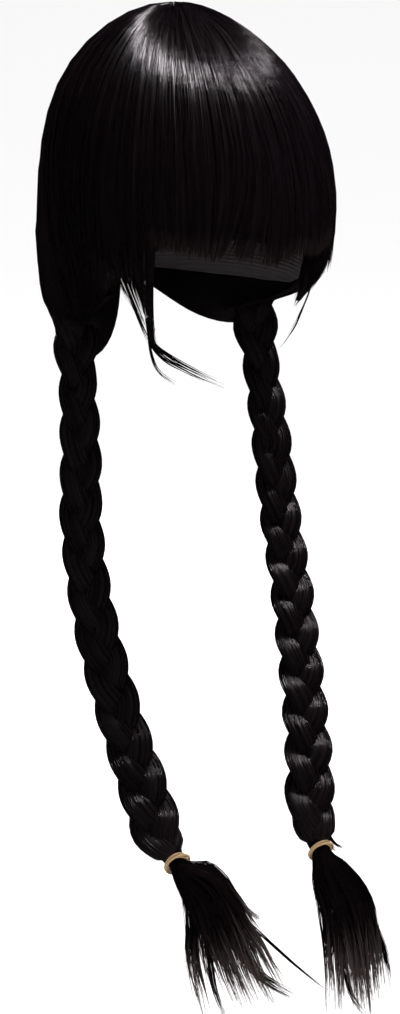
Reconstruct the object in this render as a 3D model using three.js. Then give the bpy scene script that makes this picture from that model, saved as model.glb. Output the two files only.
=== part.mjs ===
// A wig of straight near-black hair with a full fringe and two low plaits, worn on a head.
// Millimetres, +Z up. The wearer faces -Y and the wearer's left is +X.
// The origin is the inside top of the head hollow, where the wig sits on a head.
import * as THREE from "three";

const GAP = 0.3;
const DEGREE = Math.PI / 180;

// The head hollow and the outside of the hair are domes: each is widest level with the forehead, leans
// back as it closes at its top, and goes on down below its widest level as a skirt that tucks in at its end.
const HEAD_HOLLOW = { top: 0, rise: 100, halfWidth: 79, halfDepth: 98, centreY: 1.5, lean: 4, tuck: 4 };
const HAIR_OUTSIDE = {
  top: 20,
  rise: 132,
  halfWidth: 96.6,
  halfDepth: 115,
  centreY: 1.5,
  lean: 13,
  tuck: 15,
};
const SKIRT_DEPTH = 68;

// The parting from the whorl down the middle of the back.
const PARTING = { depth: 3, halfAngle: 5 };

// Lower edge of the crown, from the middle of the face round to the middle of the back.
// It steps down where the fringe ends, at the temple, and where the lock ends, at the ear.
const CROWN_EDGE = [
  { around: 0, z: -58 },
  { around: 30, z: -63 },
  { around: 42, z: -65 },
  { around: 43, z: -128 },
  { around: 64, z: -132 },
  { around: 66, z: -160 },
  { around: 80, z: -168 },
  { around: 100, z: -171 },
  { around: 130, z: -172 },
  { around: 155, z: -170 },
  { around: 180, z: -166 },
];
const CROWN_COLUMN_STEP = 6;
const CROWN_ROWS = { outside: 15, inside: 11 };

// Lower edge of the fringe, from the wearer's right temple to the left one.
const FRINGE_EDGE = [
  { around: -42, z: -126 },
  { around: -28, z: -130 },
  { around: -16, z: -132 },
  { around: -6, z: -134 },
  { around: 6, z: -139 },
  { around: 16, z: -133 },
  { around: 28, z: -136 },
  { around: 42, z: -130 },
];
const FRINGE = { halfAngle: 41, columns: 24, rows: 6, rootThickness: 10, tipThickness: 3.5 };

// A side lock narrows from the temple to a point and leans in towards the cheek.
const LOCK_SECTIONS = [
  { z: -132.5, from: 43.6, to: 63.4, inset: 0, thickness: 11 },
  { z: -146, from: 43.6, to: 61, inset: 3, thickness: 10 },
  { z: -158, from: 43.2, to: 56.5, inset: 7, thickness: 8 },
  { z: -170, from: 42.6, to: 51, inset: 8, thickness: 5.5 },
  { z: -183, from: 42, to: 45.5, inset: 5, thickness: 3 },
];
const LOCK_ARC_STEPS = 6;

// A bunch runs from the crown's lower edge behind the ear in to the top of a plait. Its lower end is an
// oval that holds the plait's strands and reaches in from them towards the neck. The hair from the nape
// sags on its way and bows in round the neck.
const BUNCH = { from: 66.5, to: 177.5, arcSteps: 16, sections: 8, bow: 0.14, sagsFrom: 110 };
const BUNCH_END = { halfWidth: 17, halfDepth: 13.5, towardsNeck: 4 };

// Middle line of the left plait, from the bunch down. The right one mirrors it.
const PLAIT_ROUTE = [
  { out: 70.5, y: 26.5, z: -206 },
  { out: 75, y: 13, z: -273 },
  { out: 79.5, y: 4, z: -335 },
  { out: 79.5, y: -16, z: -395 },
  { out: 74, y: -41, z: -453 },
  { out: 66, y: -66, z: -507 },
];

// What differs between the two sides: the last points of the plait's line, above the tie, and the points
// of the loose tail's line below it, how far the tail's hair spreads, how far the plait's face is turned
// out from straight ahead, how full the side lock is, and how far the hair from the nape sags.
const SIDES = [
  {
    name: "left",
    sign: 1,
    plaitEnd: [
      { x: 61, y: -77, z: -536 },
      { x: 61.5, y: -87, z: -558 },
    ],
    tail: [
      { x: 67, y: -98, z: -584 },
      { x: 73, y: -107, z: -603 },
      { x: 75.5, y: -119, z: -630 },
      { x: 74.5, y: -132, z: -666 },
    ],
    spread: 23,
    faceTurn: -8,
    lockFullness: 1,
    napeSag: 10,
  },
  {
    name: "right",
    sign: -1,
    plaitEnd: [
      { x: -61.5, y: -77, z: -527 },
      { x: -54.5, y: -87, z: -543 },
    ],
    tail: [
      { x: -40, y: -98, z: -564 },
      { x: -34, y: -107, z: -582 },
      { x: -31, y: -118, z: -605 },
      { x: -22, y: -132, z: -640 },
    ],
    spread: 25,
    faceTurn: 14,
    lockFullness: 0.85,
    napeSag: 20,
  },
];

// Three strands swing across the plait. Each comes in from an edge in front and goes out to an edge behind.
const STRAND = { radius: 4.5, swing: 9.3, weave: 6.6, period: 84, sides: 8, stepsPerPeriod: 14 };
// Fullness of the plait along its length, from the bunch to the tie.
const PLAIT_FULLNESS = [
  { along: 0, scale: 0.98 },
  { along: 0.35, scale: 1.02 },
  { along: 0.75, scale: 1.17 },
  { along: 0.93, scale: 1.2 },
  { along: 0.975, scale: 0.85 },
  { along: 1, scale: 0.46 },
];

// The elastic is one thin band wound round the neck of the tail, its turns side by side.
const TIE = { turns: 3, bandRadius: 0.75, bundleRadius: 0.95, stepsPerTurn: 24, sides: 6, below: 7 };

// Sections of the loose tail along its length, as its radius at the tie and as shares of its spread.
const TAIL_NECK = { topRadius: 6.2, radius: 5.1, straight: 12 };
const TAIL_NECK_SECTIONS = [
  { along: 0, radius: TAIL_NECK.topRadius },
  { along: 0.035, radius: TAIL_NECK.radius },
  { along: 0.095, radius: TAIL_NECK.radius },
];
const TAIL_SECTIONS = [
  { along: 0.14, width: 0.46, thickness: 0.34 },
  { along: 0.21, width: 0.64, thickness: 0.42 },
  { along: 0.3, width: 0.78, thickness: 0.48 },
  { along: 0.42, width: 0.9, thickness: 0.5 },
  { along: 0.56, width: 1, thickness: 0.5 },
  { along: 0.7, width: 0.98, thickness: 0.44 },
  { along: 0.84, width: 0.88, thickness: 0.36 },
  { along: 0.95, width: 0.62, thickness: 0.24 },
  { along: 1, width: 0.34, thickness: 0.12 },
];
const TAIL_SIDES = 14;

const hair = new THREE.MeshStandardMaterial({ color: 0x120c10, roughness: 0.38, metalness: 0 });
const elastic = new THREE.MeshStandardMaterial({ color: 0xc39a6c, roughness: 0.6, metalness: 0 });

// Value of one column of a table at a place between its rows, in a straight line from row to row.
function readTable(rows, key, at, column) {
  const next = rows.findIndex((row) => row[key] >= at);
  if (next === 0) return rows[0][column];
  if (next < 0) return rows[rows.length - 1][column];
  const before = rows[next - 1];
  const share = (at - before[key]) / (rows[next][key] - before[key]);
  return THREE.MathUtils.lerp(before[column], rows[next][column], share);
}

// The height reached on a dome when going down its side by an angle from the top, skirt included.
function heightAt(dome, angle) {
  const widest = dome.top - dome.rise;
  const quarter = Math.PI / 2;
  return angle < quarter ? widest + dome.rise * Math.cos(angle) : widest - dome.rise * (angle - quarter);
}

// The angle from a dome's top to a height on its side.
function angleAt(dome, z) {
  const widest = dome.top - dome.rise;
  return z > widest ? Math.acos((z - widest) / dome.rise) : Math.PI / 2 + (widest - z) / dome.rise;
}

// A point of a dome's side at an angle round from the face, towards the wearer's left, and a height.
// A positive inset lies that far inside the dome.
function onDome(dome, around, z, inset = 0) {
  const widest = dome.top - dome.rise;
  const up = Math.max(0, (z - widest) / dome.rise);
  const drop = Math.max(0, widest - z) / SKIRT_DEPTH;
  const reach = Math.sqrt(Math.max(0, 1 - up * up));
  const tuck = inset + dome.tuck * drop ** 4;
  const x = (dome.halfWidth * reach - tuck) * Math.sin(around);
  const y = dome.centreY + dome.lean * up ** 1.5 - (dome.halfDepth * reach - tuck) * Math.cos(around);
  return new THREE.Vector3(x, y, z);
}

// Depth of the back parting at an angle round from the face.
function partingDepth(around) {
  const away = (Math.PI - Math.abs(around)) / (PARTING.halfAngle * DEGREE);
  return PARTING.depth * Math.exp(-away * away);
}

function outsidePoint(around, z, inset = 0) {
  const reach = Math.sin(Math.min(angleAt(HAIR_OUTSIDE, z), Math.PI / 2));
  return onDome(HAIR_OUTSIDE, around, z, inset + partingDepth(around) * reach);
}

// A closed skin over a row of rings that have the same even number of points. With tips it ends in a
// point at each end, with flat ends it is closed across, and else its last ring joins its first.
function skin(rings, { tips = [], flatEnds = false } = {}) {
  const count = rings[0].length;
  const points = rings.flat();
  const faces = [];
  const open = flatEnds || tips.length > 0;
  const spans = open ? rings.length - 1 : rings.length;
  for (let span = 0; span < spans; span++) {
    const here = span * count;
    const there = ((span + 1) % rings.length) * count;
    for (let i = 0; i < count; i++) {
      const j = (i + 1) % count;
      faces.push([here + i, here + j, there + i], [here + j, there + j, there + i]);
    }
  }
  const last = (rings.length - 1) * count;
  if (tips.length > 0) {
    const first = points.push(tips[0]) - 1;
    const final = points.push(tips[1]) - 1;
    for (let i = 0; i < count; i++) {
      const j = (i + 1) % count;
      faces.push([first, j, i], [last + i, last + j, final]);
    }
  }
  if (flatEnds) {
    for (let i = 0; i + 1 < count / 2; i++) {
      const opposite = count - 1 - i;
      faces.push([i, opposite, i + 1], [i + 1, opposite, opposite - 1]);
      faces.push([last + i, last + i + 1, last + opposite]);
      faces.push([last + i + 1, last + opposite - 1, last + opposite]);
    }
  }
  const across = ([a, b, c]) => points[a].dot(points[b].clone().cross(points[c]));
  const volume = faces.reduce((sum, face) => sum + across(face), 0);
  const geometry = new THREE.BufferGeometry().setFromPoints(points);
  geometry.setIndex(faces.flatMap(([a, b, c]) => (volume < 0 ? [a, c, b] : [a, b, c])));
  geometry.computeVertexNormals();
  return geometry;
}

function piece(name, geometry, material) {
  const mesh = new THREE.Mesh(geometry, material);
  mesh.name = name;
  return mesh;
}

function crownEdge(around) {
  return readTable(CROWN_EDGE, "around", Math.abs(around) / DEGREE, "z");
}

// Angles of the crown's columns: an even step, and each corner of its lower edge.
function crownColumns() {
  const half = new Set(CROWN_EDGE.map((row) => row.around));
  for (let around = 0; around <= 180; around += CROWN_COLUMN_STEP) half.add(around);
  half.add(180 - PARTING.halfAngle / 2);
  const sorted = [...half].sort((a, b) => a - b);
  const mirrored = sorted.filter((around) => around > 0 && around < 180).map((around) => -around);
  return [...mirrored.reverse(), ...sorted].map((around) => around * DEGREE);
}

function crownHair() {
  const columns = crownColumns();
  const ringAt = (dome, share, place) =>
    columns.map((around) => place(around, heightAt(dome, share * angleAt(dome, crownEdge(around)))));
  const insidePoint = (around, z) => onDome(HEAD_HOLLOW, around, z);
  const rings = [];
  for (let row = 1; row <= CROWN_ROWS.outside; row++)
    rings.push(ringAt(HAIR_OUTSIDE, row / CROWN_ROWS.outside, outsidePoint));
  for (let row = CROWN_ROWS.inside; row >= 1; row--)
    rings.push(ringAt(HEAD_HOLLOW, row / CROWN_ROWS.inside, insidePoint));
  return skin(rings, { tips: [outsidePoint(0, HAIR_OUTSIDE.top), insidePoint(0, HEAD_HOLLOW.top)] });
}

function fringe() {
  const rings = [];
  for (let column = 0; column <= FRINGE.columns; column++) {
    const around = THREE.MathUtils.lerp(-1, 1, column / FRINGE.columns) * FRINGE.halfAngle * DEGREE;
    const top = crownEdge(around) - GAP;
    const bottom = readTable(FRINGE_EDGE, "around", around / DEGREE, "z");
    const outside = [];
    const inside = [];
    for (let row = 0; row <= FRINGE.rows; row++) {
      const share = row / FRINGE.rows;
      const z = THREE.MathUtils.lerp(top, bottom, share);
      const thickness = THREE.MathUtils.lerp(FRINGE.rootThickness, FRINGE.tipThickness, share);
      outside.push(outsidePoint(around, z));
      inside.unshift(outsidePoint(around, z, thickness));
    }
    rings.push([...outside, ...inside]);
  }
  return skin(rings, { flatEnds: true });
}

// Below its top section, a lock is as wide as the side's fullness leaves it.
function sideLock({ sign, lockFullness }) {
  const rings = LOCK_SECTIONS.map(({ z, from, to, inset, thickness }, section) => {
    const last = section === 0 ? to : THREE.MathUtils.lerp(from, to, lockFullness);
    const outside = [];
    const inside = [];
    for (let step = 0; step <= LOCK_ARC_STEPS; step++) {
      const around = sign * THREE.MathUtils.lerp(from, last, step / LOCK_ARC_STEPS) * DEGREE;
      outside.push(outsidePoint(around, z, inset));
      inside.unshift(outsidePoint(around, z, inset + thickness));
    }
    return [...outside, ...inside];
  });
  return skin(rings, { flatEnds: true });
}

function asVector({ x, y, z }) {
  return new THREE.Vector3(x, y, z);
}

// The plait's middle line with, at any share of its length, its point, direction, width and face.
function plaitLine(side) {
  const rows = PLAIT_ROUTE.map(({ out, y, z }) => new THREE.Vector3(side.sign * out, y, z));
  const points = [...rows, ...side.plaitEnd.map(asVector)];
  const curve = new THREE.CatmullRomCurve3(points, false, "centripetal");
  const turn = side.faceTurn * DEGREE;
  const ahead = new THREE.Vector3(side.sign * Math.sin(turn), -Math.cos(turn), 0);
  const frameAt = (along) => framed(curve.getPointAt(along), curve.getTangentAt(along), ahead);
  return { length: curve.getLength(), frameAt, ahead };
}

// A section's frame: its width lies across the way it faces, square to its direction.
function framed(point, direction, ahead) {
  const width = new THREE.Vector3().crossVectors(ahead, direction).normalize();
  const face = new THREE.Vector3().crossVectors(direction, width).normalize();
  return { point, direction, width, face };
}

function inFrame(frame, across, out) {
  return frame.point.clone().addScaledVector(frame.width, across).addScaledVector(frame.face, out);
}

function ovalRing(frame, across, out, halfWidth, halfThickness, sides) {
  const ring = [];
  for (let i = 0; i < sides; i++) {
    const angle = (2 * Math.PI * i) / sides;
    ring.push(inFrame(frame, across + halfWidth * Math.cos(angle), out + halfThickness * Math.sin(angle)));
  }
  return ring;
}

// The bunch is a crescent under the crown's edge that draws together into an oval over the plait.
function bunch(side, line) {
  const arc = [];
  for (let step = 0; step <= BUNCH.arcSteps; step++)
    arc.push(side.sign * THREE.MathUtils.lerp(BUNCH.from, BUNCH.to, step / BUNCH.arcSteps) * DEGREE);
  const underEdge = (around) => crownEdge(around) - 2 * GAP;
  const outside = arc.map((around) => outsidePoint(around, underEdge(around)));
  const inside = arc.map((around) => onDome(HEAD_HOLLOW, around, underEdge(around))).reverse();
  const crescent = [...outside, ...inside];
  const end = line.frameAt(0);
  const oval = crescent.map((_, i) => {
    const angle = (Math.PI * (i + 0.5)) / outside.length;
    const outwards = BUNCH_END.halfWidth * Math.sin(angle) - BUNCH_END.towardsNeck;
    return inFrame(end, side.sign * outwards, BUNCH_END.halfDepth * Math.cos(angle));
  });
  const slack = [...arc, ...arc.slice().reverse()].map((around) =>
    THREE.MathUtils.smoothstep(Math.abs(around) / DEGREE, BUNCH.sagsFrom, BUNCH.to),
  );
  const rings = [];
  for (let section = 0; section <= BUNCH.sections; section++) {
    const share = section / BUNCH.sections;
    const drawn = THREE.MathUtils.smoothstep(share, 0, 1);
    const middle = Math.sin(Math.PI * share);
    rings.push(
      crescent.map((point, i) => {
        const mixed = point.clone().lerp(oval[i], drawn).multiplyScalar(1 - BUNCH.bow * middle * slack[i]);
        mixed.z = THREE.MathUtils.lerp(point.z, oval[i].z, share) - side.napeSag * middle * slack[i];
        return mixed;
      }),
    );
  }
  return skin(rings, { flatEnds: true });
}

function strand(line, index) {
  const usable = line.length - 2 * GAP;
  const steps = Math.round((usable / STRAND.period) * STRAND.stepsPerPeriod);
  const rings = [];
  for (let step = 0; step <= steps; step++) {
    const travelled = GAP + (usable * step) / steps;
    const along = travelled / line.length;
    const scale = readTable(PLAIT_FULLNESS, "along", along, "scale");
    const phase = 2 * Math.PI * (travelled / STRAND.period + index / 3);
    const across = STRAND.swing * scale * Math.sin(phase);
    const out = -STRAND.weave * scale * Math.sin(2 * phase);
    const radius = STRAND.radius * scale;
    rings.push(ovalRing(line.frameAt(along), across, out, radius, radius, STRAND.sides));
  }
  return skin(rings, { flatEnds: true });
}

// The tail's middle line goes straight on from the plait through the tie, then bends to its tip.
function tailLine(side, line) {
  const end = line.frameAt(1);
  const straight = end.point.clone().addScaledVector(end.direction, TAIL_NECK.straight);
  const points = [end.point, straight, ...side.tail.map(asVector)];
  const curve = new THREE.CatmullRomCurve3(points, false, "centripetal");
  const frameAt = (along) => framed(curve.getPointAt(along), curve.getTangentAt(along), line.ahead);
  return { length: curve.getLength(), frameAt };
}

function tail(side, line) {
  const rings = TAIL_NECK_SECTIONS.map(({ along, radius }) =>
    ovalRing(line.frameAt(along), 0, 0, radius, radius, TAIL_SIDES),
  );
  for (const { along, width, thickness } of TAIL_SECTIONS)
    rings.push(
      ovalRing(line.frameAt(along), 0, 0, width * side.spread, thickness * side.spread, TAIL_SIDES),
    );
  return skin(rings, { flatEnds: true });
}

// The band goes round the neck for all its turns while it goes once round the middle of the bundle.
function tie(line) {
  const frame = line.frameAt(TIE.below / line.length);
  const ringRadius = TAIL_NECK.radius + GAP + TIE.bundleRadius + TIE.bandRadius;
  const steps = TIE.turns * TIE.stepsPerTurn;
  const rings = [];
  for (let step = 0; step < steps; step++) {
    const round = (2 * Math.PI * TIE.turns * step) / steps;
    const roll = (2 * Math.PI * step) / steps;
    const fromAxis = ringRadius + TIE.bundleRadius * Math.cos(roll);
    const down = TIE.bundleRadius * Math.sin(roll);
    const ring = [];
    for (let i = 0; i < TIE.sides; i++) {
      const angle = (2 * Math.PI * i) / TIE.sides;
      const reach = fromAxis + TIE.bandRadius * Math.cos(angle);
      const point = inFrame(frame, reach * Math.cos(round), reach * Math.sin(round));
      ring.push(point.addScaledVector(frame.direction, down + TIE.bandRadius * Math.sin(angle)));
    }
    rings.push(ring);
  }
  return skin(rings);
}

const wig = new THREE.Group();
wig.add(piece("crown_hair", crownHair(), hair));
wig.add(piece("fringe", fringe(), hair));
for (const side of SIDES) {
  const plait = plaitLine(side);
  const loose = tailLine(side, plait);
  wig.add(piece(`side_lock_${side.name}`, sideLock(side), hair));
  wig.add(piece(`bunch_${side.name}`, bunch(side, plait), hair));
  for (let index = 0; index < 3; index++)
    wig.add(piece(`plait_${side.name}_strand_${index + 1}`, strand(plait, index), hair));
  wig.add(piece(`tie_${side.name}`, tie(loose), elastic));
  wig.add(piece(`tail_${side.name}`, tail(side, loose), hair));
}

export default wig;
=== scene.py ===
"""Looks of a near-black wig with a full fringe and two plaits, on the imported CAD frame. Metres, +Z up."""

import math
from collections import namedtuple

import bmesh
import bpy
import numpy as np
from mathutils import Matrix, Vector


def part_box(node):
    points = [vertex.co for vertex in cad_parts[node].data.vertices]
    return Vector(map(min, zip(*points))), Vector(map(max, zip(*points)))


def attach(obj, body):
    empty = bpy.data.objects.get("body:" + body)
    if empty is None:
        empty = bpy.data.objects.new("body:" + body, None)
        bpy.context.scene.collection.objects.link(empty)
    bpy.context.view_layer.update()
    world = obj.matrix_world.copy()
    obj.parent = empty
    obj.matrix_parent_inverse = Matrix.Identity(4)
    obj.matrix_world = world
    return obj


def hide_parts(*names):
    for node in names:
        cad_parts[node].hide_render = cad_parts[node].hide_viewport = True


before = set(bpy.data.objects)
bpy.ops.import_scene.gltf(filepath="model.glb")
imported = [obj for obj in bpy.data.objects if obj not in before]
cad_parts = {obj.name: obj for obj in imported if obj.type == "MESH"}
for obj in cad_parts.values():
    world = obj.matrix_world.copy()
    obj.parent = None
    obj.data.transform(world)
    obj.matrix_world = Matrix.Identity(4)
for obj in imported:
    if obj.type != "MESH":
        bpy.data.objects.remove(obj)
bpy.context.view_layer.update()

MM = 0.001
DEGREE = math.pi / 180
QUARTER = math.pi / 2

# Camera at the photograph's angle, and the size of the photograph in pixels.
CAMERA_AIM = (0.009, -0.0048, -0.324)
CAMERA_AZIMUTH = -28 * DEGREE
CAMERA_ELEVATION = 16 * DEGREE
CAMERA_DISTANCE = 1.5
CAMERA_LENS_MM = 75.5
CAMERA_SENSOR_MM = 36
PHOTO_WIDTH = 400
PHOTO_HEIGHT = 1014


def camera_back():
    """The way from what the camera is aimed at to the camera."""
    flat = math.cos(CAMERA_ELEVATION)
    sideways = math.sin(CAMERA_AZIMUTH) * flat
    return np.array([sideways, -math.cos(CAMERA_AZIMUTH) * flat, math.sin(CAMERA_ELEVATION)])


def seen(*places):
    """Points, to the millimetre, that show at pixels across and down the photograph, at chosen depths y."""
    back = camera_back()
    right = np.array([math.cos(CAMERA_AZIMUTH), math.sin(CAMERA_AZIMUTH), 0])
    up = np.cross(back, right)
    camera = (np.array(CAMERA_AIM) + back * CAMERA_DISTANCE) / MM
    focal = CAMERA_LENS_MM / CAMERA_SENSOR_MM * PHOTO_HEIGHT
    points = []
    for across, down, depth in places:
        sight = right * (across - PHOTO_WIDTH / 2) - up * (down - PHOTO_HEIGHT / 2) - back * focal
        points.append(tuple(np.rint(camera + sight * (depth - camera[1]) / sight[1])))
    return tuple(points)


# The outside of the hair and the head hollow are domes that go on down as skirts, as in the CAD model.
Dome = namedtuple("Dome", "top rise half_width half_depth lean tuck")
HAIR = Dome(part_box("crown_hair")[1][2], 0.132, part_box("crown_hair")[1][0], 0.115, 0.013, 0.015)
HOLLOW = Dome(0.0, 0.100, 0.079, 0.098, 0.004, 0.004)
DOME_CENTRE_Y = 0.0015
SKIRT_DEPTH = 0.068

# Hair starts this far down from the dome's top, in radians, and the fringe a little higher. Down the back it
# starts on both sides of a parting: the angle round where it starts, the parting's depth and its half-width.
WHORL_DOWN = 0.012
FRINGE_ROOT_DOWN = 0.006
PARTED_AT = 179.6 * DEGREE
PARTING_DEPTH = 0.002
PARTING_HALF_ANGLE = 5 * DEGREE

# How far the combed surface stands out from the dome, by the angle down, over the face and over the sides.
# The mass of hair under the combed fibres lies a little inside that surface, but not at the whorl.
PROUD_FRONT = (
    (0, 0.003), (0.3, 0.0017), (0.55, 0.0003), (0.9, 0.0012),
    (1.2, 0.0018), (1.6, 0.0014), (1.9, -0.0008), (2.2, -0.002),
)
PROUD_SIDE = (
    (0, 0.0026), (0.5, 0.0019), (0.9, 0.0025), (1.3, -0.0005), (1.57, -0.0013),
    (1.7, 0.0004), (1.86, 0.004), (1.97, 0.0064), (2.1, 0.008),
)
PROUD_ROUNDING = 0.12
SIDE_FROM = 70 * DEGREE
SIDE_TO = 105 * DEGREE
MASS_INSET = 0.0052
WHORL_INSET = 0.0
WHORL_REACH = 0.12

# Lower edges of the crown and of the fringe: degrees round from the face and heights in millimetres.
CROWN_EDGE = (
    (0, -58), (30, -63), (42, -65), (43, -128), (64, -132), (66, -160),
    (80, -168), (100, -171), (130, -172), (155, -170), (180, -166),
)
FRINGE_EDGE = (
    (-44, -126), (-28, -130), (-16, -132), (-6, -134),
    (6, -139), (16, -133), (28, -136), (44, -130),
)

# Above the brow the fringe is swept to the wearer's right, most at one place, and splits in two others.
FRINGE_SWEEP = -10 * DEGREE
FRINGE_SWEEP_AT = -6 * DEGREE
FRINGE_SWEEP_WIDTH = 13 * DEGREE
FRINGE_BENDS_FROM = 0.7
FRINGE_BENDS_LATE = 1.5
Split = namedtuple("Split", "root half_gap reach")
FRINGE_SPLITS = (
    Split(-6 * DEGREE, 2.0 * DEGREE, 3.0 * DEGREE),
    Split(2 * DEGREE, 1.5 * DEGREE, 2.5 * DEGREE),
)
# High on the crown two locks of the fringe part a little.
CREASE = Split(-29 * DEGREE, 1.0 * DEGREE, 1.5 * DEGREE)
CREASE_FROM = 0.12
CREASE_TO = 0.45
CREASE_EASE = 0.12

# A side lock's sections: height, angles from and to, how far inside the hair's outside, and thickness.
FULL_LOCK = (
    (-128, 43, 64, 0, 11),
    (-140, 43.5, 62, 2, 15),
    (-151, 43.3, 59, 4, 15),
    (-162, 43, 54.5, 8, 9.5),
    (-174, 42.3, 46, 12, 2),
)
SHEER_LOCK = (
    (-128, 43, 64, 0, 4),
    (-143, 44.8, 60.5, 2.5, 4),
    (-160, 45.3, 56, 2.5, 3),
    (-176, 46.5, 51, -0.5, 2),
    (-192, 47.3, 48.3, -9, 1),
)
# Share of a side lock's hair that lies on its edge by the face.
LOCK_EDGE = 0.35

# The bunch behind each ear, from the crown's edge to an oval over the plait. Hair from the nape hangs
# slack: it sags on its way, bows in round the neck and reaches the plait lower down.
BUNCH_FROM = 66.5 * DEGREE
BUNCH_TO = 179 * DEGREE
BUNCH_SAGS_FROM = 110 * DEGREE
BUNCH_SAGS_LATE = 1.5
BUNCH_BOW = 0.14
BUNCH_DRAWN_LATE = 1.4
BUNCH_END_HALF_WIDTH = 0.0188
BUNCH_END_HALF_DEPTH = 0.0153
BUNCH_END_TOWARDS_NECK = 0.004

# Middle line of a plait in millimetres, from the bunch down. The visible plait starts a little higher.
PLAIT_TOP = (69.5, 29.5, -190)
PLAIT_ROUTE = (
    (70.5, 26.5, -206),
    (74.6, 13, -273),
    (78.5, 4, -335),
    (78.3, -16, -395),
    (72.9, -41, -453),
    (65, -66, -507),
)

# What differs between the two sides: the last points of the plait's line and the points of the loose
# tail's line, the tail's half-width, how far the plait's face is turned out, the side lock, the share of its
# length that thins out and whether it is full inside, how far the hair from the nape sags and drops, and
# where the tail is split and how wide.
Side = namedtuple(
    "Side",
    "name sign plait_end tail_route spread face_turn lock lock_thins lock_full"
    " nape_sag nape_drop split_at split_gap",
)
SIDES = (
    Side(
        name="left",
        sign=1,
        plait_end=((60, -77, -536), (61, -87, -558)),
        tail_route=((67, -98, -584), (73, -107, -603), (75.5, -119, -630), (74.5, -132, -666)),
        spread=0.023,
        face_turn=-8 * DEGREE,
        lock=FULL_LOCK,
        lock_thins=0.06,
        lock_full=True,
        nape_sag=0.009,
        nape_drop=0.012,
        split_at=0.5,
        split_gap=0.12,
    ),
    Side(
        name="right",
        sign=-1,
        plait_end=((-63, -77, -527), (-56.5, -87, -543)),
        tail_route=((-40, -98, -564), (-34, -107, -582), (-31, -118, -605), (-22, -132, -640)),
        spread=0.025,
        face_turn=14 * DEGREE,
        lock=SHEER_LOCK,
        lock_thins=0.2,
        lock_full=False,
        nape_sag=0.016,
        nape_drop=0.024,
        split_at=-0.5,
        split_gap=0.18,
    ),
)

# A plait's strands press together, so they are fuller than their CAD tubes and swing less, and just above
# the tie they are gathered in.
STRAND_HALF_WIDTH = 0.0078
STRAND_HALF_THICKNESS = 0.0058
STRAND_SWING = 0.0062
STRAND_WEAVE = 0.0047
STRAND_PERIOD = 0.084
GATHERED_FROM = 0.93
GATHERED_BY = 0.6
PLAIT_FULLNESS = (
    (0, 1.12), (0.04, 1.15), (0.1, 0.93), (0.18, 1.0), (0.35, 1.07),
    (0.75, 1.18), (0.95, 1.32), (0.982, 1.16), (1, 0.68),
)

# A tail's radius at the tie, then its half-width and half-thickness along it, as shares of its spread.
TAIL_STRAIGHT = 0.012
TAIL_NECK = ((0, 0.0082), (0.035, 0.006), (0.08, 0.006), (0.11, 0.0078))
TAIL_WIDTH = ((0.14, 0.48), (0.21, 0.66), (0.3, 0.78), (0.42, 0.9), (0.56, 1), (0.7, 1.1), (1, 1.25))
TAIL_THICKNESS = ((0.14, 0.34), (0.21, 0.42), (0.3, 0.48), (0.56, 0.5), (0.7, 0.44), (1, 0.36))

# A tail's locks draw together in clumps and part at the split, from these places along. Then how long clumps
# are, as shares of the tail, how much shorter at its outer edge, how locks differ in length within a clump,
# and a lock's half-width, with the share of it that is lost towards the tip.
CLUMPED = 0.5
CLUMPED_FROM = 0.3
SPLIT_FROM = 0.35
SPLIT_OVER = 0.4
CLUMP_LENGTH = (1.0, 1.15)
OUTER_EDGE_FROM = 0.3
OUTER_SHORTER = 0.3
LOCK_LENGTH_CHANGE = (-0.14, 0.04)
TAIL_LOCK_HALF_WIDTH = 0.0025
TAIL_LOCK_THINS = 0.75
TAIL_LOCK_THINS_FROM = 0.4

# The elastic is wound three times, its front pulled up and its turns looser on one side.
TIE_TURNS = 3
TIE_BELOW = 0.007
TIE_BAND_RADIUS = 0.0008
TIE_BUNDLE_RADIUS = 0.0011
TIE_TILT = 0.0055
TIE_LOOSE = 0.4

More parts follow.
